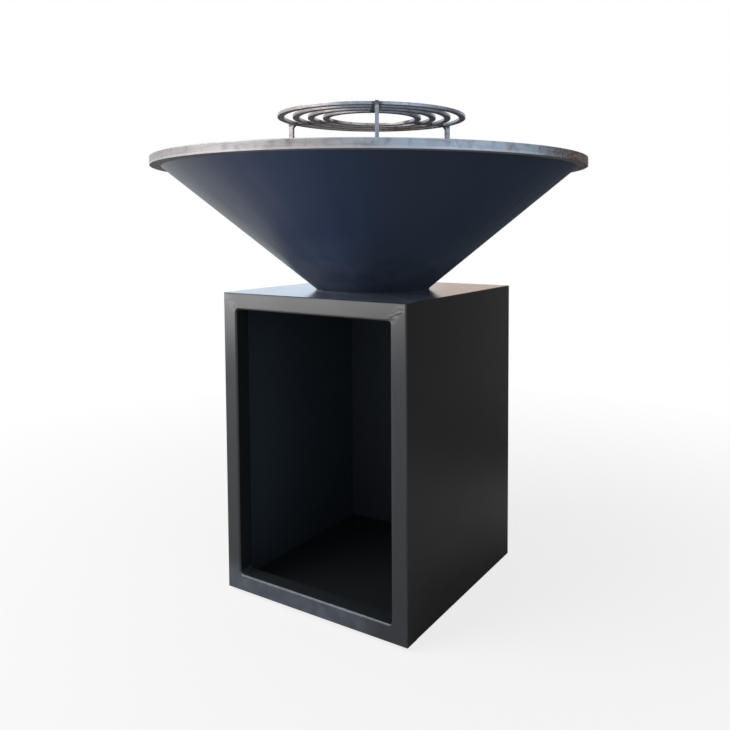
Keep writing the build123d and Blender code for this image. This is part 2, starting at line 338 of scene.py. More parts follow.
def shaded_coat():
    """The coat on the log store's floor and on the frame's inner faces, near-black as painted shade in the
    recess.
    """
    # A near-black coat painted as the shade in the recess
    return powder_coat("darkened", "shaded_coat", 0.6, 0.75, gloss=0.25)


def lit_back_coat():
    """The dull coat on the log store's back, lighter and bluer than the floor's as painted light."""
    return powder_coat("lit_back", "lit_back_coat", 0.55, 0.7)


def heat_paint():
    """Silicone heat-proof paint, sprayed on rolled steel.

    It gives a blue-black satin skin with a slow painted bluer reflection, a painted teal reflection along
    the left edge, a fine dry spray texture, and ash and dust near the foot that are lighter also as painted
    reflected light.
    """
    colours = bpy.context.scene.grill_colours
    material, tree, shader, where = new_material("heat_proof_paint")
    # How far round a point is towards the bowl's drier side, behind on the right, from -1 to 1
    level = level_direction(tree, where)
    across = node(tree, "VectorMath", {0: level, 1: (0.82, 0.57, 0.0)}, "Value", operation="DOT_PRODUCT")
    # A painted bluer reflection in a broad band towards the bowl's left
    reflected_blue = maths(tree, "SUBTRACT", across, -0.4)
    reflected_blue = maths(tree, "ABSOLUTE", reflected_blue)
    reflected_blue = eased(tree, reflected_blue, 0.6, 0.0)
    colour = blend(tree, reflected_blue, colours.bowl, colours.bowl_reflected_blue)
    # A painted teal reflection along the bowl's far left edge
    reflected_teal = eased(tree, across, -0.72, -0.96, high=0.5)
    colour = blend(tree, reflected_teal, colour, colours.bowl_reflected_teal)
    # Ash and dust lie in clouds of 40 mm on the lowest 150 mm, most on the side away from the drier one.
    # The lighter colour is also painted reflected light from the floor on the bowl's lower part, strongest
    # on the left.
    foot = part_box("bowl_shell")[0].z
    height = node(tree, "SeparateXYZ", {0: where}, out="Z")
    low_down = eased(tree, height, foot + 150 * MM, foot)
    clouds = mottle(tree, where, 40, 4.0)
    # More of the lighter colour on the left, partly painted reflected light there
    more_on_left = eased(tree, across, -0.7, 0.1, low=1.3, high=0.5)
    dust_and_reflection_share = maths(tree, "MULTIPLY", clouds, low_down)
    dust_and_reflection_share = maths(tree, "MULTIPLY", dust_and_reflection_share, more_on_left)
    colour = blend(tree, dust_and_reflection_share, colour, colours.dust_and_reflection)
    # One side was sprayed wetter, so the sheen falls off across the bowl, with clouds of 90 mm in it
    sheen = mottle(tree, where, 90, 3.0)
    dry_side = eased(tree, across, -0.6, 0.65, low=0.34, high=0.8)
    roughness = maths(tree, "MULTIPLY_ADD", sheen, 0.1, dry_side)

    # Spray grain is under 1 mm, drawn at 3 mm so that it shows
    grain = mottle(tree, where, 3, 2.0)
    normal = bump(tree, grain, 0.12, 0.2 * MM)
    # The cone was bent line by line, which leaves faint flats about 10 degrees wide
    flats = node(tree, "TexNoise", {"Vector": level, "Scale": 6.0, "Detail": 1.0})
    normal = bump(tree, flats, 0.5, 4 * MM, normal)

    feed(tree, shader, {"Base Color": colour, "Roughness": roughness, "Normal": normal, "IOR": 1.4,
                        "Specular Tint": opaque(colours.bowl_sheen)})
    return material


def rolled_steel(name, edges, turn_to_blue, scale, patch_mm, streak_mm, rust_spot, rust_reach, bare_metal=1.0,
                 smoothest=0.42, lip=None, heat_and_shade_tint=False):
    """Hot-rolled steel, cut from the sheet and left bare.

    It gives bright cut edges with drag lines, and level faces that keep the mill's scale. Of the two edge
    colours, the second, a painted bluer reflection, takes over from left to right where turn_to_blue says.
    Rust is rough and not metallic. Welding leaves a dark tint, partly painted shade. The lip is the lower
    part of a cut edge, painted lighter as a highlight.
    """
    colours = bpy.context.scene.grill_colours
    material, tree, shader, where = new_material(name)
    patches = mottle(tree, where, patch_mm, 7.0, 0.6)

    # Drag lines of the cut run level, so their noise is squeezed 24 times upwards
    squeezed = node(tree, "Mapping", {"Vector": where, "Scale": (1.0, 1.0, 24.0)})
    drag = mottle(tree, squeezed, streak_mm, 4.0, 0.65)
    x, _, z = node(tree, "SeparateXYZ", {0: where}, out=None)
    # The share of the second edge colour, a painted bluer reflection, from left to right
    cool = eased(tree, x, *turn_to_blue)
    edge = blend(tree, cool, *edges)
    darkened = ramp(tree, patches, 0.48, 0.7, high=0.75)
    streaked = ramp(tree, drag, 0.48, 0.68, high=0.6)
    dulled = maths(tree, "MAXIMUM", darkened, streaked)
    edge = blend(tree, dulled, edge, colours.dull_steel)
    if lip is not None:
        # A painted highlight on the lowest few millimetres of the cut edge
        ground = eased(tree, z, lip + 2 * MM, lip, high=0.4)
        edge = blend(tree, ground, edge, colours.lip_highlight)

    # The mill's scale covers the level faces, worn through in patches; on the grate its light colour is
    # also painted light on the bars' undersides
    worn = ramp(tree, patches, 0.42, 0.7, high=0.3)
    face = blend(tree, worn, scale, edges[0])
    level = maths(tree, "ABSOLUTE", upward(tree))
    level = eased(tree, level, 0.55, 0.9)
    colour = blend(tree, level, edge, face)
    metallic = ramp(tree, level, low=bare_metal, high=0.2)
    roughness = ramp(tree, patches, low=smoothest, high=smoothest + 0.14)
    roughness = maths(tree, "MULTIPLY_ADD", level, 0.35, roughness)

    # Rust blooms in clouds of 60 mm and in dark and light speckles of 8 mm that close up towards one spot
    clouds = mottle(tree, where, 60, 7.0, 0.68)
    rust = ramp(tree, clouds, 0.6, 0.8, high=0.35)
    away = node(tree, "VectorMath", {0: where, 1: rust_spot}, out="Value", operation="DISTANCE")
    spot = ramp(tree, away, rust_reach, rust_reach / 5)
    flat = node(tree, "Mapping", {"Vector": where, "Scale": (1.0, 1.0, 2.0)})
    speckle = mottle(tree, flat, 8, 8.0, 0.75)
    close = maths(tree, "ADD", spot, speckle)
    close = ramp(tree, close, 0.8, 1.2)
    # Scale keeps most of the rust and of the welds' tint and painted shade off the level faces
    kept = ramp(tree, level, low=1.0, high=0.4)
    close = maths(tree, "MULTIPLY", close, kept)
    rust = maths(tree, "MAXIMUM", rust, close)
    dark = ramp(tree, speckle, 0.44, 0.56)
    browns = blend(tree, dark, colours.rust, colours.old_rust)

    if heat_and_shade_tint:
        # Weld tint and painted shade round the arms
        heat = node(tree, "Attribute", out="Fac", attribute_name="weld_heat_and_shade")
        tint = maths(tree, "MULTIPLY", heat, patches)
        tint = eased(tree, tint, 0.08, 0.36, high=0.75)
        tint = maths(tree, "MULTIPLY", tint, kept)
        colour = blend(tree, tint, colour, colours.heat)
        roughness = maths(tree, "MULTIPLY_ADD", tint, 0.15, roughness)
    colour = blend(tree, rust, colour, browns)
    bare = maths(tree, "SUBTRACT", 1.0, rust)
    metallic = maths(tree, "MULTIPLY", metallic, bare)
    roughness = maths(tree, "MULTIPLY_ADD", rust, 0.25, roughness)

    # Pits are about 1 mm, drawn at 3 mm so that they show
    pits = mottle(tree, where, 3, 4.0)
    normal = bump(tree, pits, 0.2, 0.3 * MM)
    normal = bump(tree, drag, 0.3, 0.5 * MM, normal)

    feed(tree, shader, {"Base Color": colour, "Metallic": metallic, "Roughness": roughness,
                        "Normal": normal})
    return material


def plate_steel():
    """The steel of the cooking plate, rusty at the right end of its rim, with a painted bluer reflection on
    its right and a painted highlight along its lower edge.
    """
    colours = bpy.context.scene.grill_colours
    low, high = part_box("cooking_plate")
    spot = Vector((0.952, 0.304, 0.0)) * high.x + Vector((0.0, 0.0, low.z))
    edges = (colours.steel, colours.steel_reflecting_blue)
    return rolled_steel("hot_rolled_plate_steel", edges, turn_to_blue=(0.16, 0.34), scale=colours.scale,
                        patch_mm=22, streak_mm=60, rust_spot=spot, rust_reach=0.4, lip=low.z + 3.5 * MM)


def bar_steel():
    """The steel of the grate's rings and bars, dull, tinted round the arms by welds and painted shade,
    rusty at the back.
    """
    colours = bpy.context.scene.grill_colours
    low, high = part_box("grate_ring_1")
    spot = Vector((-0.05, 1.0, 0.0)) * high.x + Vector((0.0, 0.0, low.z))
    edges = (colours.bar, colours.bar_reflecting_blue)
    # Its light scale colour also paints light on the bars' undersides
    return rolled_steel("rolled_bar_steel", edges, turn_to_blue=(-0.02, 0.1), scale=colours.lit_bar_scale,
                        patch_mm=12, streak_mm=40, rust_spot=spot, rust_reach=0.13, bare_metal=0.7,
                        smoothest=0.28, heat_and_shade_tint=True)


def zinc_plate():
    """Zinc plating on turned and pressed steel: a cool, slightly cloudy metal."""
    colours = bpy.context.scene.grill_colours
    material, tree, shader, where = new_material("zinc_plate")
    clouds = mottle(tree, where, 5, 3.0)
    dull = tuple(0.7 * share for share in colours.zinc)
    colour = blend(tree, clouds, colours.zinc, dull)
    roughness = ramp(tree, clouds, low=0.28, high=0.45)
    feed(tree, shader, {"Base Color": colour, "Roughness": roughness, "Metallic": 1.0})
    return material


def black_zinc():
    """Black passivated zinc on the foot screws and nuts: a dull, nearly black metal."""
    material, tree, shader, where = new_material("black_zinc")
    clouds = mottle(tree, where, 4, 3.0)
    zinc = bpy.context.scene.grill_colours.zinc
    dark, light = (tuple(part * share for share in zinc) for part in (0.05, 0.12))
    colour = blend(tree, clouds, dark, light)
    feed(tree, shader, {"Base Color": colour, "Metallic": 0.6, "Roughness": 0.5})
    return material


def pad_rubber():
    """Moulded rubber: dull black with a fine mould grain."""
    colours = bpy.context.scene.grill_colours
    material, tree, shader, where = new_material("moulded_rubber")
    grain = mottle(tree, where, 1.5, 2.0)
    worn = tuple(1.6 * share for share in colours.rubber)
    colour = blend(tree, grain, colours.rubber, worn)
    normal = bump(tree, grain, 0.3, 0.2 * MM)
    feed(tree, shader, {"Base Color": colour, "Normal": normal, "Roughness": 0.75, "IOR": 1.52})
    return material


made_materials = {}


def shared(make):
    """The material that a function makes, made once."""
    if make not in made_materials:
        made_materials[make] = make()
    return made_materials[make]


def frame_box():
    """Lowest and highest corner of the front frame."""
    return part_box("frame_left_stile")[0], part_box("frame_right_stile")[1]


def pedestal_box():
    """Lowest and highest corner of the pedestal."""
    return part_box("frame_left_stile")[0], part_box("right_side_panel")[1]


def block(low, high):
    """A bmesh of a box between two corners."""
    bm = bmesh.new()
    place = Matrix.LocRotScale((low + high) / 2, None, high - low)
    bmesh.ops.create_cube(bm, size=1.0, matrix=place)
    return bm


def spun(profile, steps):
    """A bmesh of a closed profile of (radius, level) points, spun round the vertical axis."""
    bm = bmesh.new()
    corners = [bm.verts.new((radius, 0.0, level)) for radius, level in profile]
    sides = [bm.edges.new(pair) for pair in zip(corners, corners[1:] + corners[:1])]
    bmesh.ops.spin(bm, geom=corners + sides, cent=(0, 0, 0), axis=UP, angle=math.tau, steps=steps,
                   use_merge=True)
    bmesh.ops.remove_doubles(bm, verts=bm.verts, dist=TOUCHING)
    bmesh.ops.recalc_face_normals(bm, faces=bm.faces)
    return bm


def outline_face(bm, corners):
    """Joins corners in a closed line, apart from those already joined, and fills it."""
    sides = []
    for pair in zip(corners, corners[1:] + corners[:1]):
        sides.append(bm.edges.get(pair) or bm.edges.new(pair))
    return bmesh.ops.edgeloop_fill(bm, edges=sides)["faces"][0]


def thicken(bm, face, way):
    """Extrudes one face along a vector into a closed solid."""
    grown = bmesh.ops.extrude_face_region(bm, geom=[face])["geom"]
    bmesh.ops.translate(bm, verts=[part for part in grown if isinstance(part, bmesh.types.BMVert)], vec=way)


def circle_edges(bm, radius, level):
    """The edges of a spun bmesh that lie on one circle."""
    def on_circle(vert):
        return abs(vert.co.z - level) < TOUCHING and abs(vert.co.xy.length - radius) < TOUCHING
    return [edge for edge in bm.edges if all(on_circle(vert) for vert in edge.verts)]


def round_edges(bm, edges, radius, segments=3):
    """Rounds edges of a bmesh."""
    bmesh.ops.bevel(bm, geom=edges, offset=radius, offset_type="OFFSET", segments=segments, profile=0.5,
                    affect="EDGES", clamp_overlap=True, material=-1)


def add_piece(bm, name, material, slot, body, *nodes, heat=None):
    """Turns a bmesh into a smooth-shaded piece that rides on a body and stands for CAD nodes."""
    sharp_angle = math.radians(40)
    bmesh.ops.remove_doubles(bm, verts=bm.verts, dist=TOUCHING / 10)
    bmesh.ops.recalc_face_normals(bm, faces=bm.faces)
    for face in bm.faces:
        face.smooth = True
    mesh = bpy.data.meshes.new(name)
    bm.to_mesh(mesh)
    bm.free()
    mesh.set_sharp_from_angle(angle=sharp_angle)
    mesh.materials.append(material)
    if heat is not None:
        # Per point, how much weld tint and painted shade darken the steel
        layer = mesh.attributes.new("weld_heat_and_shade", "FLOAT", "POINT")
        layer.data.foreach_set("value", [heat(vert.co) for vert in mesh.vertices])
    piece = bpy.data.objects.new(name, mesh)
    bpy.context.scene.collection.objects.link(piece)
    piece.modifiers.new("flat_faces", "WEIGHTED_NORMAL").keep_sharp = True
    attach(piece, body)
    if nodes:
        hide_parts(*nodes)
    return piece


def finish_nodes(material, *nodes):
    """Gives a material to CAD nodes that stay as they are."""
    for name in nodes:
        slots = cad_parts[name].data.materials
        slots.clear()
        slots.append(material)


def recoat(piece, coat, chosen):
    """Gives the faces of a piece that a test picks a coat of their own, apart from its roundings."""
    squarely = 0.999
    piece.data.materials.append(coat)
    for face in piece.data.polygons:
        if max(abs(part) for part in face.normal) > squarely and chosen(face):
            face.material_index = len(piece.data.materials) - 1


def looks_in(face):
    """Whether a broad face behind the front looks into the log store."""
    low, high = pedestal_box()
    broad_square_metres = 0.001
    inwards = face.normal.dot((low + high) / 2 - face.center) > 0
    return inwards and face.center.y > low.y + MM and face.area > broad_square_metres


def looks_sideways(face):
    """Whether a face is part of the pedestal's outer sides."""
    low, high = pedestal_box()
    return min(abs(face.center.x - low.x), abs(face.center.x - high.x)) < 10 * TOUCHING


def looks_up(face):
    """Whether a face is part of the pedestal's top."""
    return abs(face.center.z - pedestal_box()[1].z) < 10 * TOUCHING


def add_bead(bm, start, end, radius, drops):
    """Adds a weld bead, a row of overlapping drops of uneven size, to a bmesh."""
    unevenness_per_metre = 900
    for i in range(drops):
        centre = start.lerp(end, (i + 0.5) / drops)
        size = radius * (0.9 + 0.2 * noise.noise(centre * unevenness_per_metre))
        bmesh.ops.create_icosphere(bm, subdivisions=2, radius=size, matrix=Matrix.Translation(centre))


class GRILL_OT_front_frame(bpy.types.Operator):
    """Builds the four mitred tubes round the log store's opening and the welds in its corners"""

    bl_idname = "grill.front_frame"
    bl_label = "Front frame"

    def execute(self, context):
        sizes = context.scene.grill_sizes
        coat = shared(coat_on_tube)
        for side in ("left_stile", "right_stile", "top_rail", "bottom_rail"):
            bm = self.tube(sizes, *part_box(f"frame_{side}"))
            tube = add_piece(bm, side, coat, "black_coat", "base", f"frame_{side}")
            # The opening's inner faces take the painted-shade coat
            recoat(tube, shared(shaded_coat), looks_in)
            # The frame's outer side faces take the darker coat, painted shade
            recoat(tube, shared(coat_on_sides), looks_sideways)
            recoat(tube, shared(coat_on_top), looks_up)
        add_piece(self.corner_welds(sizes), "corner_welds", coat, "black_coat", "base")
        return {"FINISHED"}

    def tube(self, sizes, low, high):
        """One tube: a box with rounded front edges, cut off at both mitres."""
        bm = block(low, high)
        size = high - low
        upright = size.z > size.x
        length = max(size)
        front = [edge for edge in bm.edges
                 if edge.calc_length() > length - MM and all(vert.co.y < low.y + MM for vert in edge.verts)]
        whole_low, whole_high = frame_box()
        centre = (low + high) / 2
        middle = (whole_low + whole_high) / 2
        across = 0 if upright else 2
        outer = [edge for edge in front
                 if abs(edge.verts[0].co[across] - middle[across]) > abs(centre[across] - middle[across])]
        inner = [edge for edge in front if edge not in outer]
        round_edges(bm, outer, sizes.frame_round, 6)
        round_edges(bm, [edge for edge in inner if edge.is_valid], sizes.tube_round, 6)
        for end in (-1, 1):
            sideways = end if not upright else math.copysign(1, centre.x - middle.x)
            upwards = end if upright else math.copysign(1, centre.z - middle.z)
            corner = Vector((whole_high.x if sideways > 0 else whole_low.x, centre.y,
                             whole_high.z if upwards > 0 else whole_low.z))
            normal = Vector((sideways, 0, -upwards))
            if normal.dot(centre - corner) > 0:
                normal.negate()
            cut = bmesh.ops.bisect_plane(bm, geom=bm.verts[:] + bm.edges[:] + bm.faces[:], plane_co=corner,
                                         plane_no=normal, clear_outer=True)
            edges = [part for part in cut["geom_cut"] if isinstance(part, bmesh.types.BMEdge)]
            bmesh.ops.edgeloop_fill(bm, edges=edges)
            round_edges(bm, edges, sizes.mitre_groove, 1)
        return bm

    def corner_welds(self, sizes):
        """Ground welds that round the opening's four corners and run on into the tubes' rounding."""
        bm = bmesh.new()
        arc_steps = 10
        radius = sizes.corner_weld
        margin = sizes.tube_round + MM
        left_low, left_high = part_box("frame_left_stile")
        right_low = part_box("frame_right_stile")[0]
        opening_low, opening_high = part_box("frame_bottom_rail")[1].z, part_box("frame_top_rail")[0].z
        # The front lies just behind the tubes' front, so that the two never fight for the same plane
        front = left_low.y + 0.05 * MM
        depth = Vector((0, left_high.y - front - MM, 0))
        for x, inward_x in ((left_high.x, 1), (right_low.x, -1)):
            for z, inward_z in ((opening_low, 1), (opening_high, -1)):
                def at(across, upwards):
                    return Vector((x + inward_x * across, front, z + inward_z * upwards))
                arc = [bm.verts.new(at(radius, 0))]
                turn = inward_x * inward_z * math.pi / 2 / arc_steps
                for _ in range(arc_steps):
                    step = bmesh.ops.spin(
                        bm, geom=arc[-1:], cent=at(radius, radius), axis=(0, 1, 0), angle=turn, steps=1)
                    arc.append(step["geom_last"][0])
                others = [at(-margin, radius), at(-margin, -margin), at(radius, -margin)]
                face = outline_face(bm, arc + [bm.verts.new(place) for place in others])
                rounded = [bm.edges.get(pair) for pair in zip(arc, arc[1:])]
                thicken(bm, face, depth)
                round_edges(bm, rounded, sizes.tube_round, 6)
        return bm


class GRILL_OT_pedestal_panels(bpy.types.Operator):
    """Builds the sheet sides, back, floor and top of the log store"""

    bl_idname = "grill.pedestal_panels"
    bl_label = "Pedestal panels"

    def execute(self, context):
        sizes = context.scene.grill_sizes
        # Inside faces take the coat with painted bluish light
        lit_inside_coat = shared(coat_inside)
        # The store's floor takes painted shade and its back painted light
        inner_coats = {"store_floor": shared(shaded_coat), "back": shared(lit_back_coat)}
        names = {"left_side": "left_side_panel", "right_side": "right_side_panel", "back": "back_panel",
                 "store_floor": "floor_panel", "store_top": "top_panel"}
        for name, cad in names.items():
            bm = block(*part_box(cad))
            round_edges(bm, self.outer_edges(bm), sizes.sheet_round, 4)
            # Panels other than the top take the darker coat, painted shade
            coat = shared(coat_on_top) if name == "store_top" else shared(coat_on_sides)
            panel = add_piece(bm, name, coat, "black_coat", "base", cad)
            recoat(panel, inner_coats.get(name, lit_inside_coat), looks_in)
        finish_nodes(lit_inside_coat, "bowl_beam_left", "bowl_beam_right")
        return {"FINISHED"}

    def outer_edges(self, bm):
        """The edges on the pedestal's own outer edges, so none of those against the front frame."""
        low, high = pedestal_box()

        def outer_planes(vert):
            return {(axis, end is high) for axis in range(3) for end in (low, high)
                    if abs(vert.co[axis] - end[axis]) < TOUCHING}

        return [edge for edge in bm.edges
                if len(outer_planes(edge.verts[0]) & outer_planes(edge.verts[1])) > 1]


class GRILL_OT_fire_bowl(bpy.types.Operator):
    """Builds the rolled cone and finishes the floor, rim ring and fixings inside it"""

    bl_idname = "grill.fire_bowl"
    bl_label = "Fire bowl"

    def execute(self, context):
        sizes = context.scene.grill_sizes
        paint = shared(heat_paint)
        low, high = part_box("bowl_shell")
        inner_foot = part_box("bowl_floor")[1].x
        rim = high.x
        foot, wall = self.foot_and_wall(inner_foot, rim, high.z - low.z, sizes.bowl_wall)
        profile = [(foot, low.z), (rim, high.z), (rim - wall, high.z), (foot - wall, low.z)]
        bm = spun(profile, sizes.round_steps)
        for radius, height in profile:
            rounding = sizes.foot_round if (radius, height) == profile[0] else sizes.bowl_round
            round_edges(bm, circle_edges(bm, radius, height), rounding, 4)
        add_piece(bm, "bowl", paint, "bowl_paint", "base", "bowl_shell")
        add_piece(self.foot_bead(sizes, foot, low.z), "foot_bead", paint, "bowl_paint", "base")
        finish_nodes(paint, "bowl_floor", "bowl_rim_ring")
        finish_nodes(shared(zinc_plate), "bowl_bolts", "bowl_washers", "bowl_nuts")
        return {"FINISHED"}

    def foot_bead(self, sizes, foot, level):
        """The bead that seals the bowl's foot to the pedestal's top."""
        bm = bmesh.new()
        middle = level + 0.6 * sizes.seal_radius
        place = Matrix.Translation((foot, 0, middle)) @ Matrix.Rotation(math.pi / 2, 4, "X")
        ring = bmesh.ops.create_circle(bm, segments=12, radius=sizes.seal_radius, matrix=place)["verts"]
        bmesh.ops.spin(bm, geom=ring + bm.edges[:], cent=(0, 0, 0), axis=UP, angle=math.tau,
                       steps=sizes.round_steps, use_merge=True)
        for vert in bm.verts:
            vert.co.z = max(vert.co.z, level)
        return bm

    def foot_and_wall(self, inner_foot, rim, height, thickness):
        """Outer radius of the cone's foot, and its wall measured on the level, which needs that radius."""
        rounds_to_settle = 20
        foot = inner_foot
        wall = thickness
        for _ in range(rounds_to_settle):
            foot = inner_foot + wall
            wall = thickness * math.hypot(1.0, (rim - foot) / height)
        return foot, wall


class GRILL_OT_feet(bpy.types.Operator):
    """Finishes the foot pads, their screws and nuts"""

    bl_idname = "grill.feet"
    bl_label = "Feet"

    def execute(self, context):
        finish_nodes(shared(pad_rubber), "foot_pads")
        finish_nodes(shared(black_zinc), "foot_screws", "foot_nuts")
        return {"FINISHED"}


class GRILL_OT_cooking_plate(bpy.types.Operator):
    """Builds the thick ring-shaped cooking plate with its flame-cut rim"""

    bl_idname = "grill.cooking_plate"
    bl_label = "Cooking plate"

    def execute(self, context):
        sizes = context.scene.grill_sizes
        low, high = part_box("cooking_plate")
        rim, hole = high.x, sizes.plate_hole
        waves_round, waves_up = 45, 160
        rim_levels = [low.z + (high.z - low.z) * share for share in (0.0, 0.3, 0.5, 0.7, 1.0)]
        profile = [(rim, level) for level in rim_levels] + [(hole, high.z), (hole, low.z)]
        bm = spun(profile, 2 * sizes.round_steps)
        for radius, height in ((rim, low.z), (rim, high.z), (hole, high.z), (hole, low.z)):
            round_edges(bm, circle_edges(bm, radius, height), sizes.plate_round, 3)
        for vert in bm.verts:
            if vert.co.xy.length > rim - 2 * sizes.plate_round:
                spot = Vector((vert.co.x * waves_round, vert.co.y * waves_round, vert.co.z * waves_up))
                waver = 0.5 + 0.5 * noise.noise(spot)
                vert.co.xy *= 1 - sizes.plate_waver * waver / rim
        add_piece(bm, "plate", shared(plate_steel), "plate_steel", "plate", "cooking_plate")
        finish_nodes(shared(plate_steel), "plate_lugs")
        return {"FINISHED"}


class GRILL_OT_grate(bpy.types.Operator):
    """Builds the raised grate: four flat rings, three arms, three legs and their welds"""

    bl_idname = "grill.grate"
    bl_label = "Grate"

    def execute(self, context):
        sizes = context.scene.grill_sizes
        rings = [f"grate_ring_{i}" for i in range(1, 5)]
        middles = {i: sum(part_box(f"grate_leg_{i}"), Vector()) / 2 for i in range(1, 4)}
        self.rays = [Vector((middle.x, middle.y, 0)).normalized() for middle in middles.values()]
        radii = [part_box(cad)[1].x for cad in rings]
        gaps = [(near, far - sizes.ring_width) for far, near in zip(radii, radii[1:])]
        outer = radii[0]
        self.ring_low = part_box(rings[0])[0].z
        for i, cad in enumerate(rings, 1):
            self.add_bars(self.ring(sizes, cad), f"ring_{i}", cad)
        for i, middle in middles.items():
            turn = Matrix.Rotation(math.atan2(middle.y, middle.x), 3, "Z")
            arm = self.arm(sizes, gaps, *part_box(f"grate_arm_{i}"))
            self.add_bars(self.turned(sizes, arm, turn), f"arm_{i}", f"grate_arm_{i}")
            leg = self.leg(sizes, outer, *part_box(f"grate_leg_{i}"))
            self.add_bars(self.turned(sizes, leg, turn), f"leg_{i}", f"grate_leg_{i}")
        self.add_bars(self.welds(sizes, gaps, outer), "grate_welds")
        return {"FINISHED"}

    def add_bars(self, bm, name, *nodes):
        """Adds a piece of the grate, with the tint of its welds."""
        add_piece(bm, name, shared(bar_steel), "grate_steel", "grate", *nodes, heat=self.heat)

    def ring(self, sizes, cad):
        """One flat ring with broken edges."""
        low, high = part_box(cad)
        outer, inner = high.x, high.x - sizes.ring_width
        profile = [(inner, low.z), (outer, low.z), (outer, high.z), (inner, high.z)]
        bm = spun(profile, sizes.round_steps)
        for radius, height in profile:
            round_edges(bm, circle_edges(bm, radius, height), sizes.bar_round, 2)
        return bm

    def arm(self, sizes, gaps, low, high):
        """Short bars along +X, one from each ring to the next, let into them a little as welding does."""
        bm = bmesh.new()
        let_in = MM
        for near, far in gaps:
            middle = Vector(((near + far) / 2, 0, (low.z + high.z) / 2))
            size = Vector((far - near + 2 * let_in, sizes.arm_width, high.z - low.z))
            bmesh.ops.create_cube(bm, size=1.0, matrix=Matrix.LocRotScale(middle, None, size))
        return bm

    def leg(self, sizes, outer, low, high):
        """An upright bar along +X with a ledge for the outer ring."""
        bm = bmesh.new()
        half = sizes.leg_width / 2
        back = outer + sizes.leg_depth
        ring_low = self.ring_low
        seat_low = ring_low - sizes.seat_height
        seat_end = outer - sizes.seat_width
        profile = [(outer, low.z), (back, low.z), (back, seat_low), (back, ring_low), (back, high.z),
                   (outer, high.z), (outer, ring_low), (seat_end, ring_low), (outer, seat_low)]
        face = outline_face(bm, [bm.verts.new((radius, -half, level)) for radius, level in profile])
        thicken(bm, face, (0, 2 * half, 0))
        return bm

    def turned(self, sizes, bm, turn):
        """Breaks a bar's edges and turns it to its place."""
        least_angle = math.radians(5)
        edges = [edge for edge in bm.edges if edge.calc_face_angle() > least_angle]
        round_edges(bm, edges, sizes.bar_round, 2)
        bmesh.ops.rotate(bm, verts=bm.verts, cent=(0, 0, 0), matrix=turn)
        return bm

    def heat(self, point):
        """How strongly weld tint and painted shade darken the steel at a point near the nearest arm, from 0
        to 1.
        """
        reach = 12 * MM
        reach_down = 6 * MM
        nearest = min((point.xy - ray.xy * max(0.0, point.xy.dot(ray.xy))).length for ray in self.rays)
        high_up = min(1.0, max(0.0, 1 - (self.ring_low - point.z) / reach_down))
        return math.exp(-(nearest / reach) ** 2) * high_up

    def welds(self, sizes, gaps, outer):
        """Beads between legs and outer ring, and between the arms' short bars and the rings."""
        bm = bmesh.new()
        bead = sizes.bead_radius
        arm_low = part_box("grate_arm_1")[0].z
        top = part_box("grate_ring_1")[1].z
        for ray in self.rays:
            across = Vector((-ray.y, ray.x, 0))
            for side in (-1, 1):
                foot = ray * outer + across * side * sizes.leg_width / 2
                start = foot + Vector((0, 0, self.ring_low + bead))
                add_bead(bm, start, foot + Vector((0, 0, top - 1.5 * bead)), bead, drops=5)
            for radius in (radius for gap in gaps for radius in gap):
                middle = ray * radius + Vector((0, 0, arm_low))
                half = across * (sizes.arm_width / 2 - bead)
                add_bead(bm, middle - half, middle + half, bead, drops=8)
        return bm


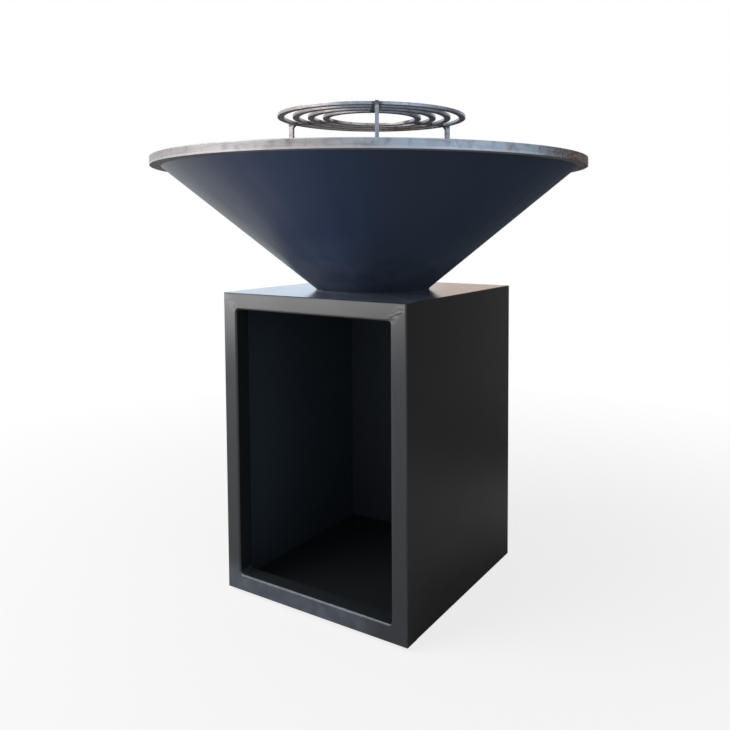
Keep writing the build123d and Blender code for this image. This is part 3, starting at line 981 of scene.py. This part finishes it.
class GRILL_OT_stage(bpy.types.Operator):
    """Sets the pale floor, the soft lamps, the surroundings and the camera"""

    bl_idname = "grill.stage"
    bl_label = "Stage"

    def execute(self, context):
        context.scene.view_settings.view_transform = "Standard"
        self.floor(context)
        self.surroundings(context)
        self.lamp("main_softbox", place=(-1.5, -2.0, 2.65), target=(0, 0, 0.6), width=2.2, height=2.0,
                  power=75.0, colour=(0.96, 0.985, 1.0))
        self.lamp("low_softbox", place=(-2.2, -2.35, 0.45), target=(0, 0, 0.5), width=2.4, height=0.46,
                  power=23.0, colour=(1.0, 0.965, 0.95))
        self.lamp("side_strip", place=(2.55, -0.68, 1.2), target=(0, 0, 1.0), width=1.6, height=0.4,
                  power=5.0, colour=(0.8, 0.9, 1.0))
        self.camera(context)
        return {"FINISHED"}

    def floor(self, context):
        """A wide pale floor that keeps the object's shadow and turns white further away.

        Gloss mirrors it darker near the object, with a ring of light 0.72 m from the middle.
        """
        bm = bmesh.new()
        bmesh.ops.create_circle(bm, cap_ends=True, segments=96, radius=30.0)
        mesh = bpy.data.meshes.new("floor")
        bm.to_mesh(mesh)
        bm.free()
        material, tree, shader, where = new_material("painted_studio_floor")
        base = opaque(context.scene.grill_colours.floor)
        feed(tree, shader, {"Base Color": base, "Roughness": 0.9, "Specular IOR Level": 0.2})
        away = node(tree, "VectorMath", {0: where}, out="Value", operation="LENGTH")
        far = eased(tree, away, 0.5, 2.2, low=0.3)
        contact = eased(tree, away, 0.3, 0.5, low=0.2)
        far = maths(tree, "MULTIPLY", far, contact)
        seen = node(tree, "LightPath", out="Is Camera Ray")
        pale = eased(tree, away, 0.2, 2.4, low=0.8)
        pale = maths(tree, "MULTIPLY", pale, seen)
        far = maths(tree, "MAXIMUM", far, pale)
        white = maths(tree, "MULTIPLY", far, self.bright_side(tree, where))
        ring = maths(tree, "SUBTRACT", away, 0.72)
        ring = maths(tree, "ABSOLUTE", ring)
        ring = eased(tree, ring, 0.5, 0.0, high=0.35)
        white = maths(tree, "MAXIMUM", white, ring)
        white = maths(tree, "MULTIPLY", white, self.seen_rays(tree))
        glow = node(tree, "Emission", {"Color": (1, 1, 1, 1), "Strength": 1.0})
        surface = tree.nodes["Principled BSDF"].outputs[0]
        mixed = node(tree, "MixShader", {0: white, 1: surface, 2: glow})
        feed(tree, tree.nodes["Material Output"].inputs, {"Surface": mixed})
        mesh.materials.append(material)
        floor = bpy.data.objects.new("floor", mesh)
        context.scene.collection.objects.link(floor)

    def seen_rays(self, tree):
        """1 for rays from the camera, and for those in gloss or through glass, and 0 for others."""
        rays = node(tree, "LightPath", out=None)
        seen = maths(tree, "MAXIMUM", rays["Is Camera Ray"], rays["Is Glossy Ray"])
        return maths(tree, "MAXIMUM", seen, rays["Is Transmission Ray"])

    def towards(self, tree, direction, degrees, inner, outer):
        """1 within an inner angle of a level direction, in degrees from +X, and 0 beyond an outer one."""
        aim = Vector((math.cos(math.radians(degrees)), math.sin(math.radians(degrees)), 0))
        level = level_direction(tree, direction)
        near = node(tree, "VectorMath", {0: level, 1: aim}, out="Value", operation="DOT_PRODUCT")
        return eased(tree, near, *(math.cos(math.radians(angle)) for angle in (outer, inner)))

    def bright_side(self, tree, direction):
        """1 all round, apart from a narrow dim part behind on the right, which the camera doesn't see."""
        dim = self.towards(tree, direction, degrees=57, inner=10, outer=25)
        bright = maths(tree, "SUBTRACT", 1.0, dim)
        seen = node(tree, "LightPath", out="Is Camera Ray")
        return maths(tree, "MAXIMUM", bright, seen)

    def surroundings(self, context):
        """A white background with a brighter ceiling, and softer light on the object from all round."""
        world = bpy.data.worlds.new("studio")
        world.use_nodes = True
        context.scene.world = world
        tree = world.node_tree
        direction = node(tree, "TexCoord", out="Generated")
        bright = self.bright_side(tree, direction)
        height = node(tree, "SeparateXYZ", {0: direction}, out="Z")
        ceiling = eased(tree, height, 0.5, 0.75, high=1.5)
        walls = ramp(tree, bright, low=0.3, high=1.0)
        shown = maths(tree, "ADD", walls, ceiling)
        level = maths(tree, "ABSOLUTE", height)
        horizon = eased(tree, level, 0.5, 0.0, low=0.12, high=0.75)
        soft = maths(tree, "MULTIPLY", walls, horizon)
        strength = node(tree, "Mix", {0: self.seen_rays(tree), 2: soft, 3: shown})
        # Gloss also mirrors a bluish and a brownish part of the horizon, behind the object
        gloss = node(tree, "LightPath", out="Is Glossy Ray")
        white, bluish, brownish = (1.0, 1.0, 1.0), (1.05, 1.2, 1.4), (0.9, 0.74, 0.65)
        blue_part = self.towards(tree, direction, degrees=133, inner=4, outer=9)
        blue_part = maths(tree, "MULTIPLY", blue_part, gloss)
        colour = blend(tree, blue_part, white, bluish)
        brown_part = self.towards(tree, direction, degrees=115, inner=3, outer=6)
        brown_part = maths(tree, "MULTIPLY", brown_part, gloss)
        colour = blend(tree, brown_part, colour, brownish)
        feed(tree, tree.nodes["Background"].inputs, {"Color": colour, "Strength": strength})

    def lamp(self, name, place, target, width, height, power, colour):
        """A soft rectangular lamp that faces a point."""
        light = bpy.data.lights.new(name, "AREA")
        light.shape = "RECTANGLE"
        light.size, light.size_y = width, height
        light.energy = power
        light.color = colour
        lamp = bpy.data.objects.new(name, light)
        lamp.location = place
        lamp.rotation_euler = (Vector(target) - Vector(place)).to_track_quat("-Z", "Y").to_euler()
        bpy.context.scene.collection.objects.link(lamp)

    def camera(self, context):
        """The photograph's camera, worked out from the pedestal, plate, bowl and grate in it."""
        focal_pixels = 721.33
        middle_x, middle_y = 413.37, 266.55
        yaw, pitch, roll = math.radians(31.287), math.radians(3.265), math.radians(-0.162)
        place = (0.9806, -1.4270, 0.8505)
        lens = bpy.data.cameras.new("camera")
        lens.sensor_width = SENSOR_WIDTH
        lens.lens = focal_pixels / PHOTO_PIXELS * SENSOR_WIDTH
        lens.shift_x = 0.5 - middle_x / PHOTO_PIXELS
        lens.shift_y = middle_y / PHOTO_PIXELS - 0.5
        camera = bpy.data.objects.new("camera", lens)
        turn = (Matrix.Rotation(yaw, 4, "Z") @ Matrix.Rotation(math.pi / 2 - pitch, 4, "X")
                @ Matrix.Rotation(roll, 4, "Z"))
        camera.matrix_world = Matrix.Translation(place) @ turn
        context.scene.collection.objects.link(camera)
        context.scene.camera = camera


STEPS = (GRILL_OT_front_frame, GRILL_OT_pedestal_panels, GRILL_OT_fire_bowl, GRILL_OT_feet,
         GRILL_OT_cooking_plate, GRILL_OT_grate, GRILL_OT_stage)


class GRILL_PT_sidebar(bpy.types.Panel):
    """Lists the grill's building steps, sizes and colours"""

    bl_label = "Wood-fired grill"
    bl_idname = "GRILL_PT_sidebar"
    bl_space_type = "VIEW_3D"
    bl_region_type = "UI"
    bl_category = "Grill"

    def draw(self, context):
        for step in STEPS:
            self.layout.operator(step.bl_idname)
        for group in (context.scene.grill_sizes, context.scene.grill_colours):
            box = self.layout.box()
            for name in group.__annotations__:
                box.prop(group, name)


CLASSES = (GrillSizes, GrillColours, *STEPS, GRILL_PT_sidebar)


def register():
    """Registers the classes and hangs the sizes and colours on the scene."""
    for cls in CLASSES:
        bpy.utils.register_class(cls)
    bpy.types.Scene.grill_sizes = bpy.props.PointerProperty(type=GrillSizes)
    bpy.types.Scene.grill_colours = bpy.props.PointerProperty(type=GrillColours)


def unregister():
    """Takes the sizes, colours and classes away again."""
    del bpy.types.Scene.grill_colours
    del bpy.types.Scene.grill_sizes
    for cls in reversed(CLASSES):
        bpy.utils.unregister_class(cls)


def main():
    """Builds every piece and the stage."""
    register()
    for step in STEPS:
        group, name = step.bl_idname.split(".")
        getattr(getattr(bpy.ops, group), name)()


if __name__ == "__main__":
    main()
